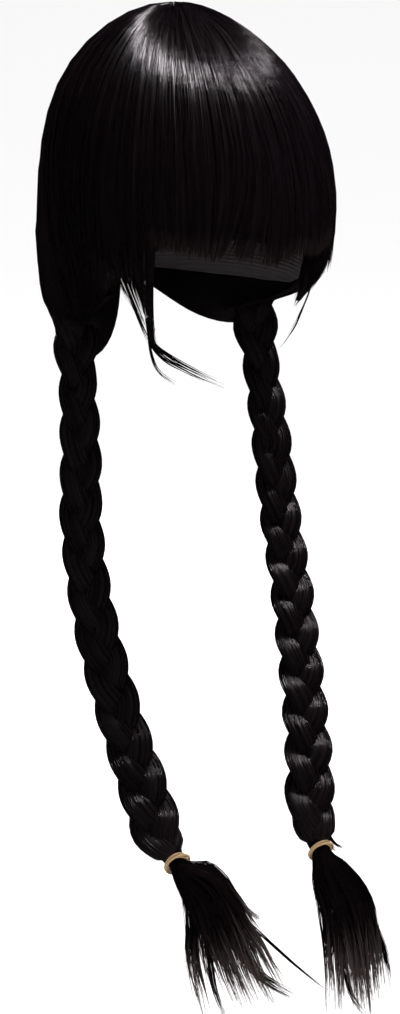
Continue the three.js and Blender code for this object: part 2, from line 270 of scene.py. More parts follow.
# Stray hairs and loose clumps: the piece that they come out of, how many hairs follow each route, how far
# they are spread at root and tip, and the routes. Millimetres, or places picked on the photograph.
Stray = namedtuple("Stray", "name node hairs spread routes")
STRAYS = (
    Stray(
        "cheek_wisps_right",
        "side_lock_right",
        7,
        (0.8, 1.5),
        (
            seen((146, 318, -66), (151, 343, -67), (164, 357, -69), (190, 371, -71), (226, 387, -73)),
            seen((147, 318, -65), (150, 344, -66), (162, 358, -68), (182, 371, -70), (207, 382, -72)),
            seen((149, 316, -67), (152, 341, -68), (168, 355, -70), (196, 371, -72), (222, 383, -73)),
            seen((147, 322, -65), (149, 345, -66), (152, 360, -67), (159, 372, -68), (174, 384, -69)),
            seen((127, 288, -60), (134, 308, -62), (142, 328, -64), (150, 345, -66), (156, 353, -67)),
            seen((151, 285, -72), (152, 310, -70), (152, 330, -68), (156, 347, -68), (170, 360, -70)),
        ),
    ),
    Stray(
        "cheek_wisps_left",
        "side_lock_left",
        7,
        (0.8, 1.5),
        (
            (
                (65, -60, -155),
                *seen((309, 292, -60), (302, 310, -62), (295, 325, -64), (284, 343, -66)),
                (34, -67, -203),
            ),
        ),
    ),
    Stray(
        "tie_flick_left",
        "plait_left_strand_1",
        8,
        (1.6, 0.8),
        (
            ((66, -84, -544), (69, -86, -552), (72, -88, -560), (79, -89, -567)),
            ((66, -84, -548), (69, -87, -556), (73, -89, -562), (82, -90, -568)),
            ((65, -85, -552), (68, -88, -560), (72, -90, -565), (77, -90, -569)),
        ),
    ),
    Stray(
        "tail_strays_right",
        "tail_right",
        11,
        (1.2, 0.4),
        (
            (
                (-20, -109, -583),
                *seen((258, 931, -113), (280, 951, -116), (303, 971, -120)),
                *seen((322, 986, -124), (333, 994, -126)),
            ),
        ),
    ),
    Stray(
        "tail_clumps_right",
        "tail_right",
        32,
        (3.2, 1.2),
        (
            ((-46, -98, -567), *seen((222, 925, -114), (243, 952, -120)), (-5, -124, -630), (22, -127, -652)),
            ((-44, -98, -570), (-31, -114, -594), (-19, -121, -615), (-5, -125, -634), (20, -128, -654)),
            ((-48, -98, -567), (-46, -114, -587), (-46, -122, -613), (-44, -127, -633), (-36, -131, -657)),
            ((-50, -94, -553), *seen((205, 880, -102), (222, 884, -104), (233, 891, -106), (242, 899, -108))),
            ((-40, -98, -561), *seen((225, 895, -106), (243, 908, -109), (256, 917, -112), (264, 925, -113))),
        ),
    ),
    Stray(
        "tail_clumps_left",
        "tail_left",
        24,
        (3.0, 1.2),
        (
            ((64, -92, -566), *seen((345, 875, -100), (359, 886, -103), (368, 897, -105), (376, 910, -106))),
            ((67, -96, -576), *seen((352, 890, -104), (372, 920, -110), (385, 950, -116), (392, 978, -120))),
            ((69, -99, -584), *seen((355, 900, -106), (374, 930, -112), (386, 965, -120), (393, 1000, -126))),
            ((66, -100, -590), (64, -112, -618), (64, -120, -640), (66, -127, -662), (79, -132, -684)),
        ),
    ),
)

# The map that each piece of hair carries, with a fibre's tone across and its length up.
FIBRE_MAP = "OFBake"
FIBRE_MAP_WIDTH = 0.012
GUIDE_ATTRIBUTES = ("across", "inwards", "fullness", "tone", "along", "round")


def unit(vectors):
    return vectors / np.maximum(np.linalg.norm(vectors, axis=-1, keepdims=True), 1e-12)


def smooth_step(share):
    share = np.clip(share, 0, 1)
    return share * share * (3 - 2 * share)


def read_table(table, place):
    """Values of a table's second column at places along its first, in straight lines from row to row."""
    columns = np.array(table, float).T
    return np.interp(place, columns[0], columns[1])


def degrees_table(table, around):
    """Heights in metres from a table of degrees and millimetres, at angles in radians."""
    return read_table(table, np.asarray(around) / DEGREE) * MM


def angle_down(dome, height):
    """Angle down from a dome's top to a height on its side, skirt included."""
    widest = dome.top - dome.rise
    up = np.clip((height - widest) / dome.rise, 0, 1)
    return np.where(height > widest, np.arccos(up), QUARTER + (widest - height) / dome.rise)


def dome_point(dome, around, down, inset=0.0):
    """Points at angles round from the face, towards the wearer's left, and down from the top."""
    around, down, inset = np.broadcast_arrays(around, down, inset)
    reach = np.sin(np.minimum(down, QUARTER))
    up = np.cos(np.minimum(down, QUARTER))
    below = np.maximum(down - QUARTER, 0) * dome.rise
    tuck = dome.tuck * (below / SKIRT_DEPTH) ** 4
    to_left = reach * np.sin(around) / dome.half_width
    to_back = -reach * np.cos(around) / dome.half_depth
    outwards = unit(np.stack([to_left, to_back, up / dome.rise], -1))
    x = (dome.half_width * reach - tuck) * np.sin(around)
    y = DOME_CENTRE_Y + dome.lean * up**1.5 - (dome.half_depth * reach - tuck) * np.cos(around)
    z = dome.top - dome.rise + dome.rise * up - below
    return np.stack([x, y, z], -1) - inset[..., None] * outwards


def combed_point(around, down, inset=0.0):
    """Points of the combed surface of the hair, or inside it."""
    to_side = smooth_step((np.abs(around) - SIDE_FROM) / (SIDE_TO - SIDE_FROM))
    proud = rounded_table(PROUD_FRONT, down) * (1 - to_side) + rounded_table(PROUD_SIDE, down) * to_side
    return dome_point(HAIR, around, down, inset - proud)


def rounded_table(table, place):
    """Values of a table with the corners between its rows rounded."""
    steps = np.linspace(-PROUD_ROUNDING, PROUD_ROUNDING, 9)
    return np.mean([read_table(table, place + step) for step in steps], axis=0)


def parting_depth(around, down):
    away = (math.pi - np.abs(around)) / PARTING_HALF_ANGLE
    return PARTING_DEPTH * np.exp(-(away**2)) * np.sin(np.minimum(down, QUARTER))


def eased(lines, passes, first):
    """Lines of points with the corners taken off from one point on, their ends kept."""
    for _ in range(passes):
        middle = (lines[:, :-2] + 2 * lines[:, 1:-1] + lines[:, 2:]) / 4
        lines = np.concatenate([lines[:, :first], middle[:, first - 1 :], lines[:, -1:]], axis=1)
    return lines


def curve_through(points, count):
    """Evenly spaced points on a centripetal Catmull-Rom curve through the points."""
    points = np.vstack([2 * points[0] - points[1], points, 2 * points[-1] - points[-2]])
    knots = np.concatenate([[0], np.cumsum(np.linalg.norm(np.diff(points, axis=0), axis=1) ** 0.5)])
    pieces = []
    for i in range(1, len(points) - 2):
        t = np.linspace(knots[i], knots[i + 1], 60)[:, None]
        p = points[i - 1 : i + 3]
        k = knots[i - 1 : i + 3]
        low = [((k[j + 1] - t) * p[j] + (t - k[j]) * p[j + 1]) / (k[j + 1] - k[j]) for j in range(3)]
        mid = [((k[j + 2] - t) * low[j] + (t - k[j]) * low[j + 1]) / (k[j + 2] - k[j]) for j in range(2)]
        pieces.append(((k[2] - t) * mid[0] + (t - k[1]) * mid[1]) / (k[2] - k[1]))
    return evenly_spaced(np.concatenate(pieces), count)


def line_length(line):
    return np.linalg.norm(np.diff(line, axis=0), axis=1).sum()


def evenly_spaced(line, count):
    travelled = np.concatenate([[0], np.cumsum(np.linalg.norm(np.diff(line, axis=0), axis=1))])
    places = np.linspace(0, travelled[-1], count)
    return np.stack([np.interp(places, travelled, line[:, axis]) for axis in range(3)], 1)


# Node trees

def add(tree, kind, inputs=None, **settings):
    """Adds a node with its settings, and joins or sets its inputs by name or number."""
    node = tree.nodes.new(kind)
    for name, value in settings.items():
        setattr(node, name, value)
    for socket, value in (inputs or {}).items():
        if isinstance(value, bpy.types.NodeSocket):
            tree.links.new(value, node.inputs[socket])
        else:
            node.inputs[socket].default_value = value
    return node


def maths(tree, operation, first, second):
    return add(tree, "ShaderNodeMath", {0: first, 1: second}, operation=operation).outputs[0]


def scaled(tree, vector, scale):
    return add(tree, "ShaderNodeVectorMath", {0: vector, "Scale": scale}, operation="SCALE").outputs[0]


def ranged(tree, value, from_low, from_high, to_low, to_high):
    sockets = {0: value, 1: from_low, 2: from_high, 3: to_low, 4: to_high}
    return add(tree, "ShaderNodeMapRange", sockets, interpolation_type="SMOOTHSTEP").outputs[0]


def stored(tree, geometry, name, value, kind="FLOAT", domain="POINT"):
    sockets = {"Geometry": geometry, "Name": name, "Value": value}
    return add(tree, "GeometryNodeStoreNamedAttribute", sockets, data_type=kind, domain=domain).outputs[0]


def attribute(tree, name, kind="FLOAT"):
    return add(tree, "GeometryNodeInputNamedAttribute", {"Name": name}, data_type=kind).outputs[0]


def new_tree(name, sizes):
    """A geometry tree with named inputs, and its input sockets."""
    tree = bpy.data.node_groups.new(name, "GeometryNodeTree")
    tree.interface.new_socket("Geometry", in_out="INPUT", socket_type="NodeSocketGeometry")
    for label, kind in sizes.items():
        tree.interface.new_socket(label, in_out="INPUT", socket_type=kind)
    tree.interface.new_socket("Geometry", in_out="OUTPUT", socket_type="NodeSocketGeometry")
    return tree, tree.nodes.new("NodeGroupInput").outputs


def end_tree(tree, geometry, material):
    smooth = add(tree, "GeometryNodeSetShadeSmooth", {"Geometry": geometry}).outputs[0]
    realized = add(tree, "GeometryNodeRealizeInstances", {"Geometry": smooth}).outputs[0]
    painted = add(tree, "GeometryNodeSetMaterial", {"Geometry": realized, "Material": material}).outputs[0]
    add(tree, "NodeGroupOutput", {"Geometry": painted})


def hair_fibre_tree():
    """Grows fibres round each guide line: copies set aside and inwards at random, trimmed and tapered."""
    sizes = {
        "Fibres in a lock": "NodeSocketInt",
        "Radius": "NodeSocketFloat",
        "Wander": "NodeSocketFloat",
        "Waves": "NodeSocketFloat",
        "Root spread": "NodeSocketFloat",
        "Tip spread": "NodeSocketFloat",
        "Tip taper": "NodeSocketFloat",
        "Seed": "NodeSocketInt",
        "Material": "NodeSocketMaterial",
    }
    tree, inputs = new_tree("hair_fibres", sizes)
    guides = add(tree, "GeometryNodeMeshToCurve", {"Mesh": inputs["Geometry"]}).outputs[0]
    copy = {"Geometry": guides, "Amount": inputs["Fibres in a lock"]}
    fibres = add(tree, "GeometryNodeDuplicateElements", copy, domain="SPLINE").outputs[0]
    fibre = add(tree, "GeometryNodeCurveOfPoint").outputs["Curve Index"]

    def chance(salt, low, high, number=fibre):
        seed = maths(tree, "ADD", inputs["Seed"], salt)
        return add(tree, "FunctionNodeRandomValue", {2: low, 3: high, 7: number, 8: seed}).outputs[1]

    along = add(tree, "GeometryNodeSplineParameter").outputs["Factor"]
    tone = chance(1, 0.0, 1.0)
    lane = maths(tree, "MULTIPLY", chance(2, 0.0, 1.0), 400.0)
    wave = maths(tree, "MULTIPLY", along, inputs["Waves"])
    spot = add(tree, "ShaderNodeCombineXYZ", {0: wave, 1: lane}).outputs[0]
    slow = {"Vector": spot, "Scale": 1.0, "Detail": 1.0}
    noise = add(tree, "ShaderNodeTexNoise", slow, noise_dimensions="2D")
    sway = add(tree, "ShaderNodeSeparateXYZ", {0: noise.outputs["Color"]})
    sideways = maths(tree, "MULTIPLY", maths(tree, "SUBTRACT", sway.outputs[0], 0.5), inputs["Wander"])
    inwards = maths(tree, "MULTIPLY", maths(tree, "SUBTRACT", sway.outputs[1], 0.5), inputs["Wander"])
    aside = maths(tree, "ADD", chance(3, -1.0, 1.0), sideways)
    deep = maths(tree, "ADD", chance(4, 0.0, 1.0), inwards)
    shift_aside = scaled(tree, attribute(tree, "across", "FLOAT_VECTOR"), aside)
    shift_deep = scaled(tree, attribute(tree, "inwards", "FLOAT_VECTOR"), deep)
    shift = add(tree, "ShaderNodeVectorMath", {0: shift_aside, 1: shift_deep}, operation="ADD").outputs[0]
    placed = add(tree, "GeometryNodeSetPosition", {"Geometry": fibres, "Offset": shift}).outputs[0]
    toned = stored(tree, placed, "tone", tone)

    spline = add(tree, "GeometryNodeInputIndex").outputs[0]
    root = chance(5, 0.0, inputs["Root spread"], spline)
    tip = maths(tree, "SUBTRACT", 1.0, chance(6, 0.0, inputs["Tip spread"], spline))
    trimmed = add(tree, "GeometryNodeTrimCurve", {0: toned, 2: root, 3: tip}, mode="FACTOR").outputs[0]
    measured = stored(tree, trimmed, "along", along)
    tapers_from = maths(tree, "SUBTRACT", 1.0, inputs["Tip taper"])
    taper = ranged(tree, along, tapers_from, 1.0, 1.0, 0.2)
    radius = maths(tree, "MULTIPLY", inputs["Radius"], attribute(tree, "fullness"))
    profile = add(tree, "GeometryNodeCurvePrimitiveCircle", {"Resolution": 3, "Radius": 1.0}, mode="RADIUS")
    rounded = stored(tree, profile.outputs[0], "round", along)
    sweep = {0: measured, 1: rounded, "Scale": maths(tree, "MULTIPLY", radius, taper), "Fill Caps": True}
    skin = add(tree, "GeometryNodeCurveToMesh", sweep).outputs[0]
    across_map = maths(tree, "MULTIPLY", attribute(tree, "round"), FIBRE_MAP_WIDTH)
    tone_map = maths(tree, "MULTIPLY", attribute(tree, "tone"), 1 - FIBRE_MAP_WIDTH)
    place = {0: maths(tree, "ADD", tone_map, across_map), 1: attribute(tree, "along")}
    spot = add(tree, "ShaderNodeCombineXYZ", place).outputs[0]
    mapped = stored(tree, skin, FIBRE_MAP, spot, kind="FLOAT2", domain="CORNER")
    end_tree(tree, mapped, inputs["Material"])
    return tree


def band_tree():
    """Sweeps a round band along closed guide lines."""
    sizes = {"Radius": "NodeSocketFloat", "Sides": "NodeSocketInt", "Material": "NodeSocketMaterial"}
    tree, inputs = new_tree("elastic_band", sizes)
    path = add(tree, "GeometryNodeMeshToCurve", {"Mesh": inputs["Geometry"]}).outputs[0]
    circle = {"Resolution": inputs["Sides"], "Radius": inputs["Radius"]}
    profile = add(tree, "GeometryNodeCurvePrimitiveCircle", circle, mode="RADIUS").outputs[0]
    band = add(tree, "GeometryNodeCurveToMesh", {0: path, 1: profile}).outputs[0]
    end_tree(tree, band, inputs["Material"])
    return tree


def grown(name, guide, tree, sizes):
    """The plain mesh that a tree makes from a guide mesh, as an object."""
    source = bpy.data.objects.new(name + "_guides", guide)
    bpy.context.collection.objects.link(source)
    modifier = source.modifiers.new("grow", "NODES")
    modifier.node_group = tree
    for item in tree.interface.items_tree:
        if item.in_out == "INPUT" and item.name in sizes:
            modifier[item.identifier] = sizes[item.name]
    evaluated = source.evaluated_get(bpy.context.evaluated_depsgraph_get())
    mesh = bpy.data.meshes.new_from_object(evaluated)
    bpy.data.objects.remove(source)
    for label in GUIDE_ATTRIBUTES:
        if label in mesh.attributes:
            mesh.attributes.remove(mesh.attributes[label])
    mesh.name = name
    piece = bpy.data.objects.new(name, mesh)
    bpy.context.collection.objects.link(piece)
    return piece


def finished(piece, node):
    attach(piece, "root")
    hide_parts(node)


# Materials

def new_material(name, specular):
    material = bpy.data.materials.new(name)
    material.use_nodes = True
    shader = material.node_tree.nodes["Principled BSDF"]
    shader.inputs["Specular IOR Level"].default_value = specular
    return material, material.node_tree, shader


def two_tones(tree, place, dark, light):
    """A ramp from a dark tone to a lighter one."""
    ramp = add(tree, "ShaderNodeValToRGB", {0: place})
    ramp.color_ramp.elements[0].color = dark
    ramp.color_ramp.elements[1].color = light
    return ramp


def raised(tree, shader, height, strength, distance):
    """Joins a fine relief to a shader."""
    bump = add(tree, "ShaderNodeBump", {"Height": height, "Strength": strength, "Distance": distance})
    tree.links.new(bump.outputs[0], shader.inputs["Normal"])


def hair_material(name, tip_colour, tips_from):
    """Glossy near-black fibre: a tone for each fibre, read from its map, and paler thin tips."""
    material, tree, shader = new_material(name, 0.5)
    place = add(tree, "ShaderNodeUVMap", uv_map=FIBRE_MAP).outputs[0]
    split = add(tree, "ShaderNodeSeparateXYZ", {0: place})
    tones = two_tones(tree, split.outputs[0], (0.0028, 0.0017, 0.0023, 1), (0.0066, 0.0045, 0.0056, 1))
    middle = tones.color_ramp.elements.new(0.6)
    middle.color = (0.0040, 0.0026, 0.0034, 1)
    tip = ranged(tree, split.outputs[1], tips_from, 1.0, 0.0, 1.0)
    mix = {"Factor": tip, 6: tones.outputs[0], 7: tip_colour}
    colour = add(tree, "ShaderNodeMix", mix, data_type="RGBA").outputs[2]
    tree.links.new(colour, shader.inputs["Base Color"])
    gloss = ranged(tree, split.outputs[0], 0.0, 1.0, 0.13, 0.24)
    tree.links.new(gloss, shader.inputs["Roughness"])
    return material


def under_hair_material(name, specular, smoothest, roughest):
    """The mass of hair under the fibres: the same near-black, with fine ridges along its length."""
    material, tree, shader = new_material(name, specular)
    place = add(tree, "ShaderNodeUVMap", uv_map=FIBRE_MAP).outputs[0]
    stretch = add(tree, "ShaderNodeMapping", {"Vector": place, "Scale": (260.0, 3.0, 1.0)}).outputs[0]
    streaks = add(tree, "ShaderNodeTexNoise", {"Vector": stretch, "Scale": 1.0, "Detail": 3.0})
    streak = streaks.outputs["Fac"]
    tones = two_tones(tree, streak, (0.0024, 0.0016, 0.0020, 1), (0.0080, 0.0058, 0.0068, 1))
    tree.links.new(tones.outputs[0], shader.inputs["Base Color"])
    gloss = ranged(tree, streak, 0.2, 0.8, smoothest, roughest)
    tree.links.new(gloss, shader.inputs["Roughness"])
    raised(tree, shader, streak, 0.5, 0.0006)
    return material


def cap_material():
    """The plain dark cap inside, with the fine rows that hair is sewn to."""
    material, tree, shader = new_material("cap_lining", 0.2)
    shader.inputs["Roughness"].default_value = 0.85
    place = add(tree, "ShaderNodeTexCoord").outputs["Object"]
    grid = add(tree, "ShaderNodeTexNoise", {"Vector": place, "Scale": 900.0, "Detail": 2.0})
    tones = two_tones(tree, grid.outputs["Fac"], (0.030, 0.026, 0.028, 1), (0.070, 0.061, 0.066, 1))
    tree.links.new(tones.outputs[0], shader.inputs["Base Color"])
    rows = {"Vector": place, "Scale": 120.0, "Distortion": 0.3}
    wave = add(tree, "ShaderNodeTexWave", rows, bands_direction="Z").outputs["Fac"]
    raised(tree, shader, wave, 0.6, 0.0012)
    return material


def elastic_material():
    """Tan rubber with a slight bloom."""
    material, tree, shader = new_material("tan_elastic", 0.4)
    place = add(tree, "ShaderNodeTexCoord").outputs["Object"]
    bloom = add(tree, "ShaderNodeTexNoise", {"Vector": place, "Scale": 700.0, "Detail": 3.0})
    tones = two_tones(tree, bloom.outputs["Fac"], (0.24, 0.145, 0.065, 1), (0.46, 0.31, 0.165, 1))
    tree.links.new(tones.outputs[0], shader.inputs["Base Color"])
    gloss = ranged(tree, bloom.outputs["Fac"], 0.3, 0.7, 0.45, 0.65)
    tree.links.new(gloss, shader.inputs["Roughness"])
    raised(tree, shader, bloom.outputs["Fac"], 0.2, 0.0003)
    return material


# Guide lines of hair

def ripples(rng, locks, count, waves, size):
    """Slow waves along each lock, none at its root, as lengths."""
    along = np.linspace(0, 1, count)
    total = np.zeros((locks, count))
    for octave in (1, 2):
        phase = rng.uniform(0, 1, (locks, 1))
        speed = waves * octave * rng.uniform(0.7, 1.3, (locks, 1))
        total += np.sin(2 * math.pi * (speed * along + phase)) / octave
    return size * total * smooth_step(along / 0.2)


def broad_relief(rng, locks, count, groups, size):
    """Slow waves that neighbouring locks share, as lengths."""
    across = np.linspace(0, groups, locks)
    height = np.interp(across, np.arange(groups + 1), rng.uniform(-1, 1, groups + 1))[:, None]
    phase = np.interp(across, np.arange(groups + 1), rng.uniform(0, 1, groups + 1))[:, None]
    along = np.linspace(0, 1, count)
    return size * height * np.sin(2 * math.pi * (1.2 * along + phase)) * smooth_step(along / 0.15)


def sheet_directions(sheet, closed):
    """For locks in order across a sheet: the way to the next lock, one lock wide, and the way outwards."""
    along = np.gradient(sheet, axis=1)
    if closed:
        across = (np.roll(sheet, -1, axis=0) - np.roll(sheet, 1, axis=0)) / 2
    else:
        across = np.gradient(sheet, axis=0)
    outwards = unit(np.cross(along, across))
    return across, outwards


def guide_mesh(name, points, across, inwards, fullness):
    """Guide lines as a mesh of edges that carries what the fibres are set out by."""
    locks, count = points.shape[:2]
    number = np.arange(locks * count).reshape(locks, count)
    edges = np.stack([number[:, :-1], number[:, 1:]], -1).reshape(-1, 2)
    mesh = bpy.data.meshes.new(name)
    mesh.from_pydata(points.reshape(-1, 3).tolist(), edges.tolist(), [])
    for label, values in (("across", across), ("inwards", inwards)):
        layer = mesh.attributes.new(label, "FLOAT_VECTOR", "POINT")
        layer.data.foreach_set("vector", np.ascontiguousarray(values, np.float32).ravel())
    layer = mesh.attributes.new("fullness", "FLOAT", "POINT")
    layer.data.foreach_set("value", np.repeat(fullness, count).astype(np.float32))
    return mesh


# How locks lie in a sheet: how far each overlaps the next, how deep its fibres go, how far whole locks sink,
# the size and number of their waves, the relief that neighbours share, and how far each draws to a point.
LAY_DEFAULTS = (1.2, 0.0018, 0.001, 0.0003, 2, 0, 0)
Lay = namedtuple("Lay", "overlap depth layer ripple waves relief pinch", defaults=LAY_DEFAULTS)
WIDEST_LOCK = 1.5
DEEP_LOCKS_RARE = 1.5
RELIEF_GROUPS = 9
PINCHED_FROM = 0.75


def sheet_of_hair(name, sheet, sizes, rng, lay, closed=False):
    """Fibres that lie as a sheet: lock beside lock, some deeper than others, each with slow waves."""
    locks, count = sheet.shape[:2]
    across, outwards = sheet_directions(sheet, closed)
    width = np.linalg.norm(across, axis=-1)
    width = np.minimum(width, WIDEST_LOCK * np.median(width, axis=0))
    sink = lay.layer * rng.uniform(0, 1, (locks, 1)) ** DEEP_LOCKS_RARE
    sink = sink + ripples(rng, locks, count, lay.waves, lay.ripple)
    sink = sink + broad_relief(rng, locks, count, RELIEF_GROUPS, lay.relief)
    sway = ripples(rng, locks, count, lay.waves, 1.5 * lay.ripple)
    points = sheet - outwards * sink[..., None] + unit(across) * sway[..., None]
    drawn = 1 - lay.pinch * smooth_step((np.linspace(0, 1, count) - PINCHED_FROM) / (1 - PINCHED_FROM))
    half_width = np.clip(width * lay.overlap * drawn, 0.0002, None)[..., None]
    fullness = rng.uniform(0.8, 1.2, locks)
    guide = guide_mesh(name, points, unit(across) * half_width, -outwards * lay.depth, fullness)
    return grown(name, guide, FIBRE_TREE, sizes)


def fibre_sizes(fibres, radius, material, seed, wander=1.0, waves=3.0, root=0.0, tip=0.05, taper=0.1):
    return {
        "Fibres in a lock": fibres,
        "Radius": radius,
        "Wander": wander,
        "Waves": waves,
        "Root spread": root,
        "Tip spread": tip,
        "Tip taper": taper,
        "Seed": seed,
        "Material": material,
    }


# Masses of hair under the fibres

def loft(name, rings, material):
    """A closed skin over rings of points, with its map: round the rings and along them."""
    rows, sides = rings.shape[:2]
    number = np.arange(rows * sides).reshape(rows, sides)
    after = np.roll(number, -1, axis=1)
    quads = np.stack([number[:-1], after[:-1], after[1:], number[1:]], -1).reshape(-1, 4)
    faces = quads.tolist() + [number[0][::-1].tolist(), number[-1].tolist()]
    mesh = bpy.data.meshes.new(name)
    mesh.from_pydata(rings.reshape(-1, 3).tolist(), [], faces)
    around, along = np.meshgrid(np.arange(sides) / sides, np.linspace(0, 1, rows))
    low = np.stack([around, along], -1)
    high = np.stack([around + 1 / sides, along], -1)
    corners = np.stack([low[:-1], high[:-1], high[1:], low[1:]], -2).reshape(-1, 2)
    ends = np.concatenate([low[0][::-1], low[-1]])
    layer = mesh.uv_layers.new(name=FIBRE_MAP)
    layer.data.foreach_set("uv", np.concatenate([corners, ends]).astype(np.float32).ravel())
    outward(mesh)
    mesh.polygons.foreach_set("use_smooth", np.ones(len(mesh.polygons), bool))
    mesh.materials.append(material)
    piece = bpy.data.objects.new(name, mesh)
    bpy.context.collection.objects.link(piece)
    return piece


def outward(mesh):
    """Turns all faces of a closed mesh outwards."""
    form = bmesh.new()
    form.from_mesh(mesh)
    bmesh.ops.recalc_face_normals(form, faces=form.faces)
    form.to_mesh(mesh)
    form.free()


def crown_shell():
    """The mass of hair under the crown's fibres, hollow, with the cap inside it."""
    columns = np.arange(-180, 180, 4) * DEGREE
    edge = degrees_table(CROWN_EDGE, np.abs(columns))
    outer_rows = np.linspace(0.008, 1, 22)[:, None]
    inner_rows = np.linspace(1, 0.02, 18)[:, None]
    down = outer_rows * angle_down(HAIR, edge)
    inset = WHORL_INSET + (MASS_INSET - WHORL_INSET) * smooth_step(down / WHORL_REACH)
    outside = combed_point(columns, down, inset + parting_depth(columns, down))
    inside = dome_point(HOLLOW, columns, inner_rows * angle_down(HOLLOW, edge))
    shell = loft("crown_under_hair", np.concatenate([outside, inside]), UNDER_HAIR)
    shell.data.materials.append(CAP_LINING)
    slots = np.zeros(len(shell.data.polygons), np.int32)
    slots[len(columns) * len(outer_rows) : len(columns) * (len(outer_rows) + len(inner_rows) - 1)] = 1
    slots[-1] = 1
    shell.data.polygons.foreach_set("material_index", slots)
    finished(shell, "crown_hair")


def fringe_shell():
    """The mass of hair under the fringe's fibres, ending above its edge."""
    lap, above_edge = 0.004, 0.014
    thin, thicker_above = 0.0008, 0.0045
    columns = np.linspace(-43, 43, 30) * DEGREE
    top = degrees_table(CROWN_EDGE, np.abs(columns)) + lap
    bottom = degrees_table(FRINGE_EDGE, columns) + above_edge
    rows = np.linspace(0, 1, 9)[:, None]
    down = angle_down(HAIR, top + (bottom - top) * rows)
    outside = combed_point(columns, down, MASS_INSET)
    inside = combed_point(columns, down, MASS_INSET + thin + thicker_above * (1 - rows))[::-1]
    rings = np.concatenate([outside, inside]).transpose(1, 0, 2)
    finished(loft("fringe_under_hair", rings, UNDER_HAIR), "fringe")


# Fringe and side locks

def fringe_hair():
    """Locks from the whorl to a blunt edge, swept to the wearer's right at the brow and split in places."""
    rng = np.random.default_rng(11)
    locks = 84
    along = np.linspace(0, 1, 22)
    root = np.linspace(-44, 44, locks) * DEGREE
    swept = FRINGE_SWEEP * np.exp(-(((root - FRINGE_SWEEP_AT) / FRINGE_SWEEP_WIDTH) ** 2))
    swept = swept + sum(split_apart(root, split) for split in FRINGE_SPLITS)
    bend = np.clip((along - FRINGE_BENDS_FROM) / (1 - FRINGE_BENDS_FROM), 0, 1) ** FRINGE_BENDS_LATE
    opened = smooth_step((along - CREASE_FROM) / CREASE_EASE)
    creased = opened * smooth_step((CREASE_TO - along) / CREASE_EASE)
    around = root[:, None] + swept[:, None] * bend + split_apart(root, CREASE)[:, None] * creased
    edge = degrees_table(FRINGE_EDGE, root + swept) + rng.normal(0, 0.0012, locks)
    down = FRINGE_ROOT_DOWN + (angle_down(HAIR, edge) - FRINGE_ROOT_DOWN)[:, None] * along
    sizes = fibre_sizes(16, 0.00033, LOOSE_HAIR, 21, wander=0.45, root=0.25, tip=0.022, taper=0.04)
    lay = Lay(overlap=1.3, relief=0.0008, pinch=0.25)
    finished(sheet_of_hair("fringe_hair", combed_point(around, down), sizes, rng, lay), "fringe")


def split_apart(root, split):
    """How far locks move aside at a split, by where they start."""
    away = (root - split.root) / split.reach
    return split.half_gap * np.sign(away) * np.exp(-np.abs(away))


def on_side(side, sheet):
    """A sheet made for the wearer's left, mirrored for the right with its locks still in order."""
    return sheet if side.sign > 0 else (sheet * np.array([-1, 1, 1]))[::-1]


def side_lock_hair(side, seed):
    """Locks from the whorl past the temple and round the lock's edge, that narrow to a point."""
    rng = np.random.default_rng(seed)
    locks, count = 22, 24
    share = np.linspace(0, 1, locks)[:, None]
    outer = np.clip((share - LOCK_EDGE) / (1 - LOCK_EDGE), 0, 1)
    deep = np.clip(1 - share / LOCK_EDGE, 0, 1)
    rise_to_back, ragged = 0.018, 0.006
    tip_height = side.lock[-1][0] * MM + rise_to_back * outer**1.5 + rng.uniform(0, ragged, (locks, 1))
    down = WHORL_DOWN + (angle_down(HAIR, tip_height) - WHORL_DOWN) * np.linspace(0, 1, count)
    sheet = lock_point(side, outer, deep, down)
    sizes = fibre_sizes(17, 0.00032, LOOSE_HAIR, seed, wander=0.5, root=0.4, tip=side.lock_thins, taper=0.14)
    lay = Lay(pinch=0.4 if side.lock_full else 0.1)
    piece = sheet_of_hair("side_lock_%s_hair" % side.name, on_side(side, sheet), sizes, rng, lay)
    finished(piece, "side_lock_%s" % side.name)


def lock_point(side, outer, deep, down):
    """Points of a side lock on the wearer's left: outer goes back from the face, deep goes in."""
    height, *sections = np.array(side.lock, float).T
    fallen = -dome_point(HAIR, 0.0, down)[..., 2] / MM
    first, last, inset, thickness = [np.interp(fallen, -height, row) for row in sections]
    return combed_point((first + (last - first) * outer) * DEGREE, down, (inset + thickness * deep) * MM)


def side_lock_core(side):
    """The mass of hair inside a full side lock."""
    height = np.linspace(-0.126, side.lock[-1][0] * MM + 0.004, 12)
    down = angle_down(HAIR, height)
    outer = np.array([0.06, 0.3, 0.55, 0.8, 0.94])[:, None]
    outside = lock_point(side, outer, 0.14, down)
    inside = lock_point(side, outer[::-1], 0.9, down)
    rings = np.concatenate([outside, inside]).transpose(1, 0, 2) * np.array([side.sign, 1, 1])
    finished(loft("side_lock_%s_under_hair" % side.name, rings, UNDER_HAIR), "side_lock_%s" % side.name)


def ear_hair(side, seed):
    """Locks between the side lock and the bunch, that end ragged over the ear."""
    rng = np.random.default_rng(seed)
    locks, count = 18, 22
    share = np.linspace(0, 1, locks)[:, None]
    front, back = 50, 68
    front_edge, drop_to_back = -0.146, 0.012
    around = (front + (back - front) * share) * DEGREE
    edge = front_edge - drop_to_back * share + rng.uniform(-0.005, 0.003, (locks, 1))
    down = WHORL_DOWN + (angle_down(HAIR, edge) - WHORL_DOWN) * np.linspace(0, 1, count)
    sizes = fibre_sizes(10, 0.00034, LOOSE_HAIR, seed, wander=0.5, root=0.4, tip=0.07, taper=0.12)
    sheet = on_side(side, combed_point(around, down, 0.0005))
    piece = sheet_of_hair("ear_%s_hair" % side.name, sheet, sizes, rng, Lay(pinch=0.5))
    finished(piece, "crown_hair")


# Hair drawn back to the plaits

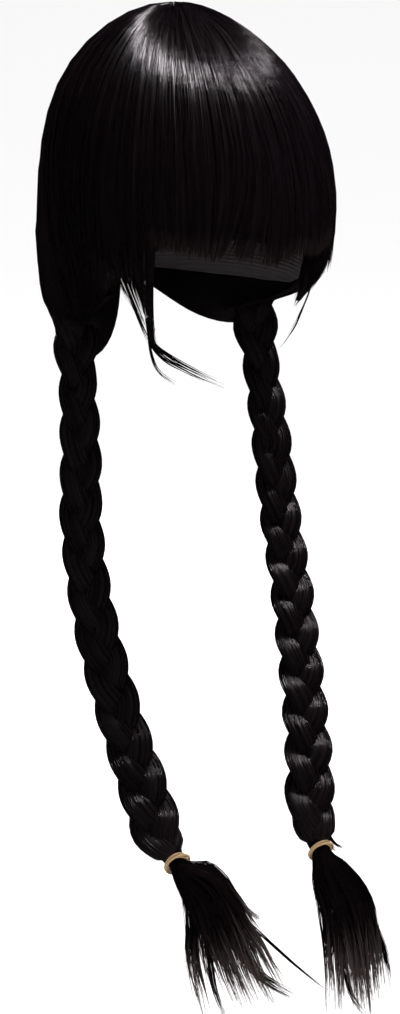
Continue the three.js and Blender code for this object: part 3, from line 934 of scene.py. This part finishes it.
class PlaitLine:
    """A plait's middle line with, at each of its points, its direction, its width and the way it faces."""

    def __init__(self, side, count):
        route = np.array((PLAIT_TOP,) + PLAIT_ROUTE, float) * np.array([side.sign, 1, 1])
        self.points = curve_through(np.vstack([route, side.plait_end]) * MM, count)
        self.ahead = np.array([side.sign * math.sin(side.face_turn), -math.cos(side.face_turn), 0])
        self.length = line_length(self.points)
        self.lead = np.linalg.norm(route[1] - route[0]) * MM
        self.direction, self.width, self.face = line_frame(self.points, self.ahead)


def line_frame(points, ahead):
    direction = unit(np.gradient(points, axis=0))
    width = unit(np.cross(ahead, direction))
    return direction, width, np.cross(direction, width)


def bunch_lines(side, plait, shares, start, around, angle, inset):
    """Lines from points of the crown's edge, share 0, to an oval over the plait, share 1."""
    slack = smooth_step((np.abs(around) - BUNCH_SAGS_FROM) / (BUNCH_TO - BUNCH_SAGS_FROM))[:, None]
    outwards = (BUNCH_END_HALF_WIDTH - inset) * np.sin(angle) - BUNCH_END_TOWARDS_NECK
    ahead = (BUNCH_END_HALF_DEPTH - inset) * np.cos(angle)
    end = plait.points[0] + side.sign * outwards[:, None] * plait.width[0] + ahead[:, None] * plait.face[0]
    end[:, 2:] -= side.nape_drop * slack
    level = shares + (smooth_step(shares) - shares) * shares
    drawn = (1 - slack) * shares**BUNCH_DRAWN_LATE + slack * level
    bowed = np.sin(math.pi * shares) * slack
    sagged = np.sin(math.pi * shares**BUNCH_SAGS_LATE) * slack
    lines = start[:, None] + (end - start)[:, None] * drawn[..., None]
    lines[..., :2] *= (1 - BUNCH_BOW * bowed)[..., None]
    lines[..., 2] = start[:, 2:] + (end - start)[:, 2:] * shares - side.nape_sag * sagged
    return lines


def bunch_outside(side, plait, shares, inset, count):
    around = np.linspace(BUNCH_FROM, BUNCH_TO, count)
    down = angle_down(HAIR, degrees_table(CROWN_EDGE, around))
    start = combed_point(side.sign * around, down, inset + parting_depth(around, down))
    angle = np.linspace(0.03, 0.97, count) * math.pi
    return bunch_lines(side, plait, shares, start, around, angle, inset)


def bunch_inside(side, plait, shares, inset, count):
    around = np.linspace(BUNCH_TO, BUNCH_FROM, count)
    down = angle_down(HOLLOW, degrees_table(CROWN_EDGE, around))
    start = dome_point(HOLLOW, side.sign * around, down)
    angle = np.linspace(1.03, 1.97, count) * math.pi
    return bunch_lines(side, plait, shares, start, around, angle, inset)


def bunch_shell(side, plait):
    """The mass of hair inside the bunch."""
    shares = np.linspace(0, 1, 14)
    outside = bunch_outside(side, plait, shares, MASS_INSET, 28)
    inside = bunch_inside(side, plait, shares, MASS_INSET, 28)
    rings = np.concatenate([outside, inside]).transpose(1, 0, 2)
    finished(loft("bunch_%s_under_hair" % side.name, rings, UNDER_HAIR), "bunch_%s" % side.name)


# Share of the locks of one side that start at the whorl, which turn forward late. The others start down the
# back parting, to a little above the edge. All end inside the plait: how far along, and how far from its line
# as shares of where they come to it.
FROM_WHORL = 0.42
TURNS_LATE = 1.7
PARTED_ABOVE_EDGE = 0.1
INTO_PLAIT = (0.008, 0.016, 0.024)
DRAWN_IN = (0.8, 0.6, 0.4)


def drawn_sheet(side, plait, locks):
    """Guide lines from the whorl or the back parting, down and forward to the bunch and into the plait."""
    share = np.linspace(0, 1, locks)[:, None]
    end_around = BUNCH_FROM + (BUNCH_TO - BUNCH_FROM) * share
    root_around = BUNCH_FROM + (PARTED_AT - BUNCH_FROM) * np.clip(share / FROM_WHORL, 0, 1)
    parted = np.clip((share - FROM_WHORL) / (1 - FROM_WHORL), 0, 1)
    end_down = angle_down(HAIR, degrees_table(CROWN_EDGE, end_around))
    root_down = WHORL_DOWN + (end_down - PARTED_ABOVE_EDGE - WHORL_DOWN) * parted
    along = np.linspace(0, 1, 14)
    around = root_around + (end_around - root_around) * along ** (TURNS_LATE - (TURNS_LATE - 1) * parted)
    down = root_down + (end_down - root_down) * along
    crown = combed_point(side.sign * around, down, parting_depth(around, down))
    bunch = bunch_outside(side, plait, np.linspace(0, 1, 8)[1:], 0.0, locks)
    step = plait.length / (len(plait.points) - 1)
    places = np.rint(np.array(INTO_PLAIT) / step).astype(int)
    inside = plait.points[places] + (bunch[:, -1:] - plait.points[0]) * np.array(DRAWN_IN)[:, None]
    sheet = eased(np.concatenate([crown, bunch, inside], axis=1), 2, len(along) - 2)
    return sheet if side.sign > 0 else sheet[::-1]


def drawn_hair(side, plait, seed):
    rng = np.random.default_rng(seed)
    sheet = drawn_sheet(side, plait, 72)
    sizes = fibre_sizes(12, 0.0004, SMOOTH_HAIR, seed, wander=0.45, root=0.12, tip=0.05)
    piece = sheet_of_hair("drawn_%s_hair" % side.name, sheet, sizes, rng, Lay(depth=0.0022))
    finished(piece, "bunch_%s" % side.name)


# Plaits, tails and ties

def strand_sheet(plait, index, lines, inset):
    """Lines along a strand's outside, in order round it."""
    along = np.linspace(0, 1, len(plait.points))
    scale = read_table(PLAIT_FULLNESS, along)
    phase = 2 * math.pi * ((along * plait.length - plait.lead) / STRAND_PERIOD + index / 3)
    gathered = 1 - GATHERED_BY * smooth_step((along - GATHERED_FROM) / (1 - GATHERED_FROM))
    across = (STRAND_SWING * scale * gathered * np.sin(phase))[:, None] * plait.width
    out = (-STRAND_WEAVE * scale * np.sin(2 * phase))[:, None] * plait.face
    middle = plait.points + across + out
    direction = unit(np.gradient(middle, axis=0))
    wide = unit(np.cross(plait.face, direction))
    thick = np.cross(direction, wide)
    angle = np.linspace(2 * math.pi, 0, lines, endpoint=False)[:, None, None]
    half_width = (STRAND_HALF_WIDTH * scale - inset)[None, :, None]
    half_thickness = (STRAND_HALF_THICKNESS * scale - inset)[None, :, None]
    return middle + half_width * np.cos(angle) * wide + half_thickness * np.sin(angle) * thick


def plait_strand(side, plait, index, seed):
    """One strand: its mass and the combed fibres over it."""
    rng = np.random.default_rng(seed)
    node = "plait_%s_strand_%d" % (side.name, index + 1)
    core = strand_sheet(plait, index, lines=24, inset=0.0003).transpose(1, 0, 2)
    finished(loft(node + "_under_hair", core, PLAITED_HAIR), node)
    sizes = fibre_sizes(2, 0.00034, SMOOTH_HAIR, seed, wander=0.4, waves=5.0, tip=0.0, taper=0.02)
    lay = Lay(overlap=0.9, depth=0.0003, layer=0.0002, ripple=0.0001, waves=4)
    sheet = strand_sheet(plait, index, lines=20, inset=0.0)
    finished(sheet_of_hair(node + "_hair", sheet, sizes, rng, lay, closed=True), node)


def tail_line(side, plait, count):
    """The loose tail's middle line: straight on through the tie, then along its route to its tip."""
    start = plait.points[-1]
    straight = start + plait.direction[-1] * TAIL_STRAIGHT
    return curve_through(np.vstack([start, straight, np.array(side.tail_route) * MM]), count)


def tail_size(side, table, along):
    """A tail's half-width or half-thickness along it."""
    shares = tuple((place, size / side.spread) for place, size in TAIL_NECK) + table
    return side.spread * read_table(shares, along)


def tail_hair(side, plait, seed):
    """Locks that spread from the tie and draw together in clumps, with a split and ragged ends."""
    rng = np.random.default_rng(seed)
    locks, clumps, count = 96, 15, 17
    line = tail_line(side, plait, count)
    direction, width, face = line_frame(line, plait.ahead)
    along = np.linspace(0, 1, count)
    spots = disc_spots(rng, locks)
    centres = disc_spots(rng, clumps)
    clump = np.linalg.norm(spots[:, None] - centres[None], axis=-1).argmin(1)
    drawn = CLUMPED * smooth_step((along - CLUMPED_FROM) / (1 - CLUMPED_FROM))[None, :, None]
    place = spots[:, None] * (1 - drawn) + centres[clump][:, None] * drawn
    opened = smooth_step((along - SPLIT_FROM) / SPLIT_OVER)
    parted = np.sign(centres[clump][:, 0] - side.split_at)[:, None] * opened
    across = (place[..., 0] + side.split_gap * parted) * tail_size(side, TAIL_WIDTH, along)
    across = across + ripples(rng, locks, count, 1.0, 0.0008)
    out = place[..., 1] * tail_size(side, TAIL_THICKNESS, along) + ripples(rng, locks, count, 1.0, 0.0007)
    points = line + across[..., None] * width + out[..., None] * face
    outer = smooth_step((centres[:, 0] - OUTER_EDGE_FROM) / (1 - OUTER_EDGE_FROM))
    clump_length = rng.uniform(*CLUMP_LENGTH, clumps) - OUTER_SHORTER * outer * rng.uniform(0.2, 1, clumps)
    length = (clump_length[clump] + rng.uniform(*LOCK_LENGTH_CHANGE, locks))[:, None]
    points = points[:, :1] + shortened(points - points[:, :1], length)
    outwards = unit(spots[:, None, :1] * width + spots[:, None, 1:] * face)
    sideways = unit(np.cross(outwards, direction))
    thinned = TAIL_LOCK_THINS * smooth_step((along - TAIL_LOCK_THINS_FROM) / (1 - TAIL_LOCK_THINS_FROM))
    lock_width = TAIL_LOCK_HALF_WIDTH * (1 - thinned)[None, :, None]
    fullness = rng.uniform(0.7, 1.15, locks)
    guide = guide_mesh("tail_guides", points, sideways * lock_width, -outwards * lock_width, fullness)
    sizes = fibre_sizes(11, 0.00034, TAIL_HAIR, seed, wander=1.2, tip=0.26, taper=0.4)
    finished(grown("tail_%s_hair" % side.name, guide, FIBRE_TREE, sizes), "tail_%s" % side.name)


def disc_spots(rng, count):
    """Random places in a disc of radius 1."""
    reach = np.sqrt(rng.uniform(0, 1, count))
    angle = rng.uniform(0, 2 * math.pi, count)
    return np.stack([reach * np.cos(angle), reach * np.sin(angle)], 1)


def shortened(lines, shares):
    """Lines from their first point to a share of their length, or a little on past their end."""
    count = lines.shape[1]
    places = shares * np.arange(count)
    low = np.clip(places.astype(int), 0, count - 2)
    part = (places - low)[..., None]
    rows = np.arange(len(lines))[:, None]
    return lines[rows, low] * (1 - part) + lines[rows, low + 1] * part


def tie_band(side, plait):
    """One elastic, wound three times round the neck of the tail."""
    count = 100
    line = tail_line(side, plait, count)
    direction, width, face = line_frame(line, plait.ahead)
    at = int(round(count * TIE_BELOW / line_length(line)))
    round_neck = np.linspace(0, 2 * math.pi * TIE_TURNS, 64 * TIE_TURNS, endpoint=False)
    roll = round_neck / TIE_TURNS
    clearance = 0.0003
    neck = read_table(TAIL_NECK, at / count) + clearance
    reach = neck + TIE_BAND_RADIUS + TIE_BUNDLE_RADIUS * (1 + np.cos(roll))
    loose = 1 + TIE_LOOSE * np.cos(round_neck)
    lift = TIE_BUNDLE_RADIUS * loose * np.sin(roll) - TIE_TILT * np.sin(round_neck)
    points = line[at] + np.outer(reach * np.cos(round_neck), width[at])
    points = points + np.outer(reach * np.sin(round_neck), face[at]) + np.outer(lift, direction[at])
    number = np.arange(len(points))
    mesh = bpy.data.meshes.new("tie_path")
    mesh.from_pydata(points.tolist(), np.stack([number, np.roll(number, -1)], 1).tolist(), [])
    sizes = {"Radius": TIE_BAND_RADIUS, "Sides": 12, "Material": TAN_ELASTIC}
    finished(grown("tie_%s_band" % side.name, mesh, BAND_TREE, sizes), "tie_%s" % side.name)


def stray_hairs(stray, seed):
    """Single hairs that leave a lock or a tail and fan out towards their tips."""
    count = 20
    lines = np.stack([curve_through(np.array(route, float) * MM, count) for route in stray.routes])
    direction = unit(np.gradient(lines, axis=1))
    across = unit(np.cross(direction, np.array([0, 1, 0])))
    inwards = np.cross(direction, across)
    fan = np.linspace(*stray.spread, count)[:, None] * MM
    guide = guide_mesh(stray.name, lines, across * fan, inwards * fan, np.ones(len(lines)))
    sizes = fibre_sizes(stray.hairs, 0.00032, LOOSE_HAIR, seed, wander=1.0, tip=0.25, taper=0.4)
    finished(grown(stray.name, guide, FIBRE_TREE, sizes), stray.node)


# Stage

def pale_floor():
    """A plain pale floor a little below the tails."""
    mesh = bpy.data.meshes.new("floor")
    reach, height = 80.0, -0.78
    turns = ((-1, -1), (1, -1), (1, 1), (-1, 1))
    corners = [(x * reach, y * reach, height) for x, y in turns]
    mesh.from_pydata(corners, [], [(0, 1, 2, 3)])
    material, _, shader = new_material("pale_floor", 0.3)
    shader.inputs["Base Color"].default_value = (0.84, 0.84, 0.84, 1)
    shader.inputs["Roughness"].default_value = 0.9
    mesh.materials.append(material)
    floor = bpy.data.objects.new("floor", mesh)
    floor.visible_glossy = False
    bpy.context.collection.objects.link(floor)


def soft_light(name, place, aim, size, power, colour=(1, 1, 1)):
    lamp = bpy.data.lights.new(name, "AREA")
    lamp.shape = "RECTANGLE"
    lamp.size, lamp.size_y = size
    lamp.energy = power
    lamp.color = colour
    light = bpy.data.objects.new(name, lamp)
    light.location = place
    light.rotation_euler = (Vector(aim) - Vector(place)).to_track_quat("-Z", "Y").to_euler()
    light.visible_camera = False
    bpy.context.collection.objects.link(light)


def studio():
    """A white room that hair doesn't mirror, and the soft lights that it does."""
    scene = bpy.context.scene
    world = bpy.data.worlds.new("white_room")
    world.use_nodes = True
    background = world.node_tree.nodes["Background"]
    background.inputs["Color"].default_value = (1, 1, 1, 1)
    background.inputs["Strength"].default_value = 1.2
    world.cycles_visibility.glossy = False
    scene.world = world
    scene.view_settings.view_transform = "Standard"
    head = (0, 0, -0.05)
    soft_light("key_above", (0.376, -0.225, 1.186), head, (0.3, 0.3), 21, (1, 0.93, 0.97))
    soft_light("fill_front", (-1.2, -1.9, 0.2), (0, 0, -0.3), (0.9, 1.2), 0.12)
    soft_light("back_low", (0.5, 1.6, -0.1), (0, 0, -0.15), (1.0, 0.8), 14)


def camera_at_photo_angle():
    camera = bpy.data.cameras.new("camera")
    camera.lens = CAMERA_LENS_MM
    camera.sensor_width = CAMERA_SENSOR_MM
    camera.clip_start = 0.05
    back = Vector(camera_back())
    view = bpy.data.objects.new("camera", camera)
    view.location = Vector(CAMERA_AIM) + back * CAMERA_DISTANCE
    view.rotation_euler = (-back).to_track_quat("-Z", "Y").to_euler()
    bpy.context.collection.objects.link(view)
    bpy.context.scene.camera = view


FIBRE_TREE = hair_fibre_tree()
BAND_TREE = band_tree()
SMOOTH_HAIR = hair_material("smooth_hair", (0.012, 0.009, 0.010, 1), 0.9)
LOOSE_HAIR = hair_material("loose_hair", (0.014, 0.010, 0.010, 1), 0.93)
TAIL_HAIR = hair_material("tail_hair", (0.085, 0.066, 0.059, 1), 0.58)
UNDER_HAIR = under_hair_material("under_hair", 0.06, 0.5, 0.65)
PLAITED_HAIR = under_hair_material("plaited_hair", 0.4, 0.24, 0.36)
CAP_LINING = cap_material()
TAN_ELASTIC = elastic_material()

camera_at_photo_angle()
studio()
pale_floor()
crown_shell()
fringe_shell()
fringe_hair()
for number, side in enumerate(SIDES):
    plait = PlaitLine(side, 116)
    side_lock_hair(side, 31 + number)
    if side.lock_full:
        side_lock_core(side)
    ear_hair(side, 33 + number)
    bunch_shell(side, plait)
    drawn_hair(side, plait, 41 + number)
    for index in range(3):
        plait_strand(side, plait, index, 51 + 3 * number + index)
    tail_hair(side, plait, 61 + number)
    tie_band(side, plait)
for number, stray in enumerate(STRAYS):
    stray_hairs(stray, 71 + number)
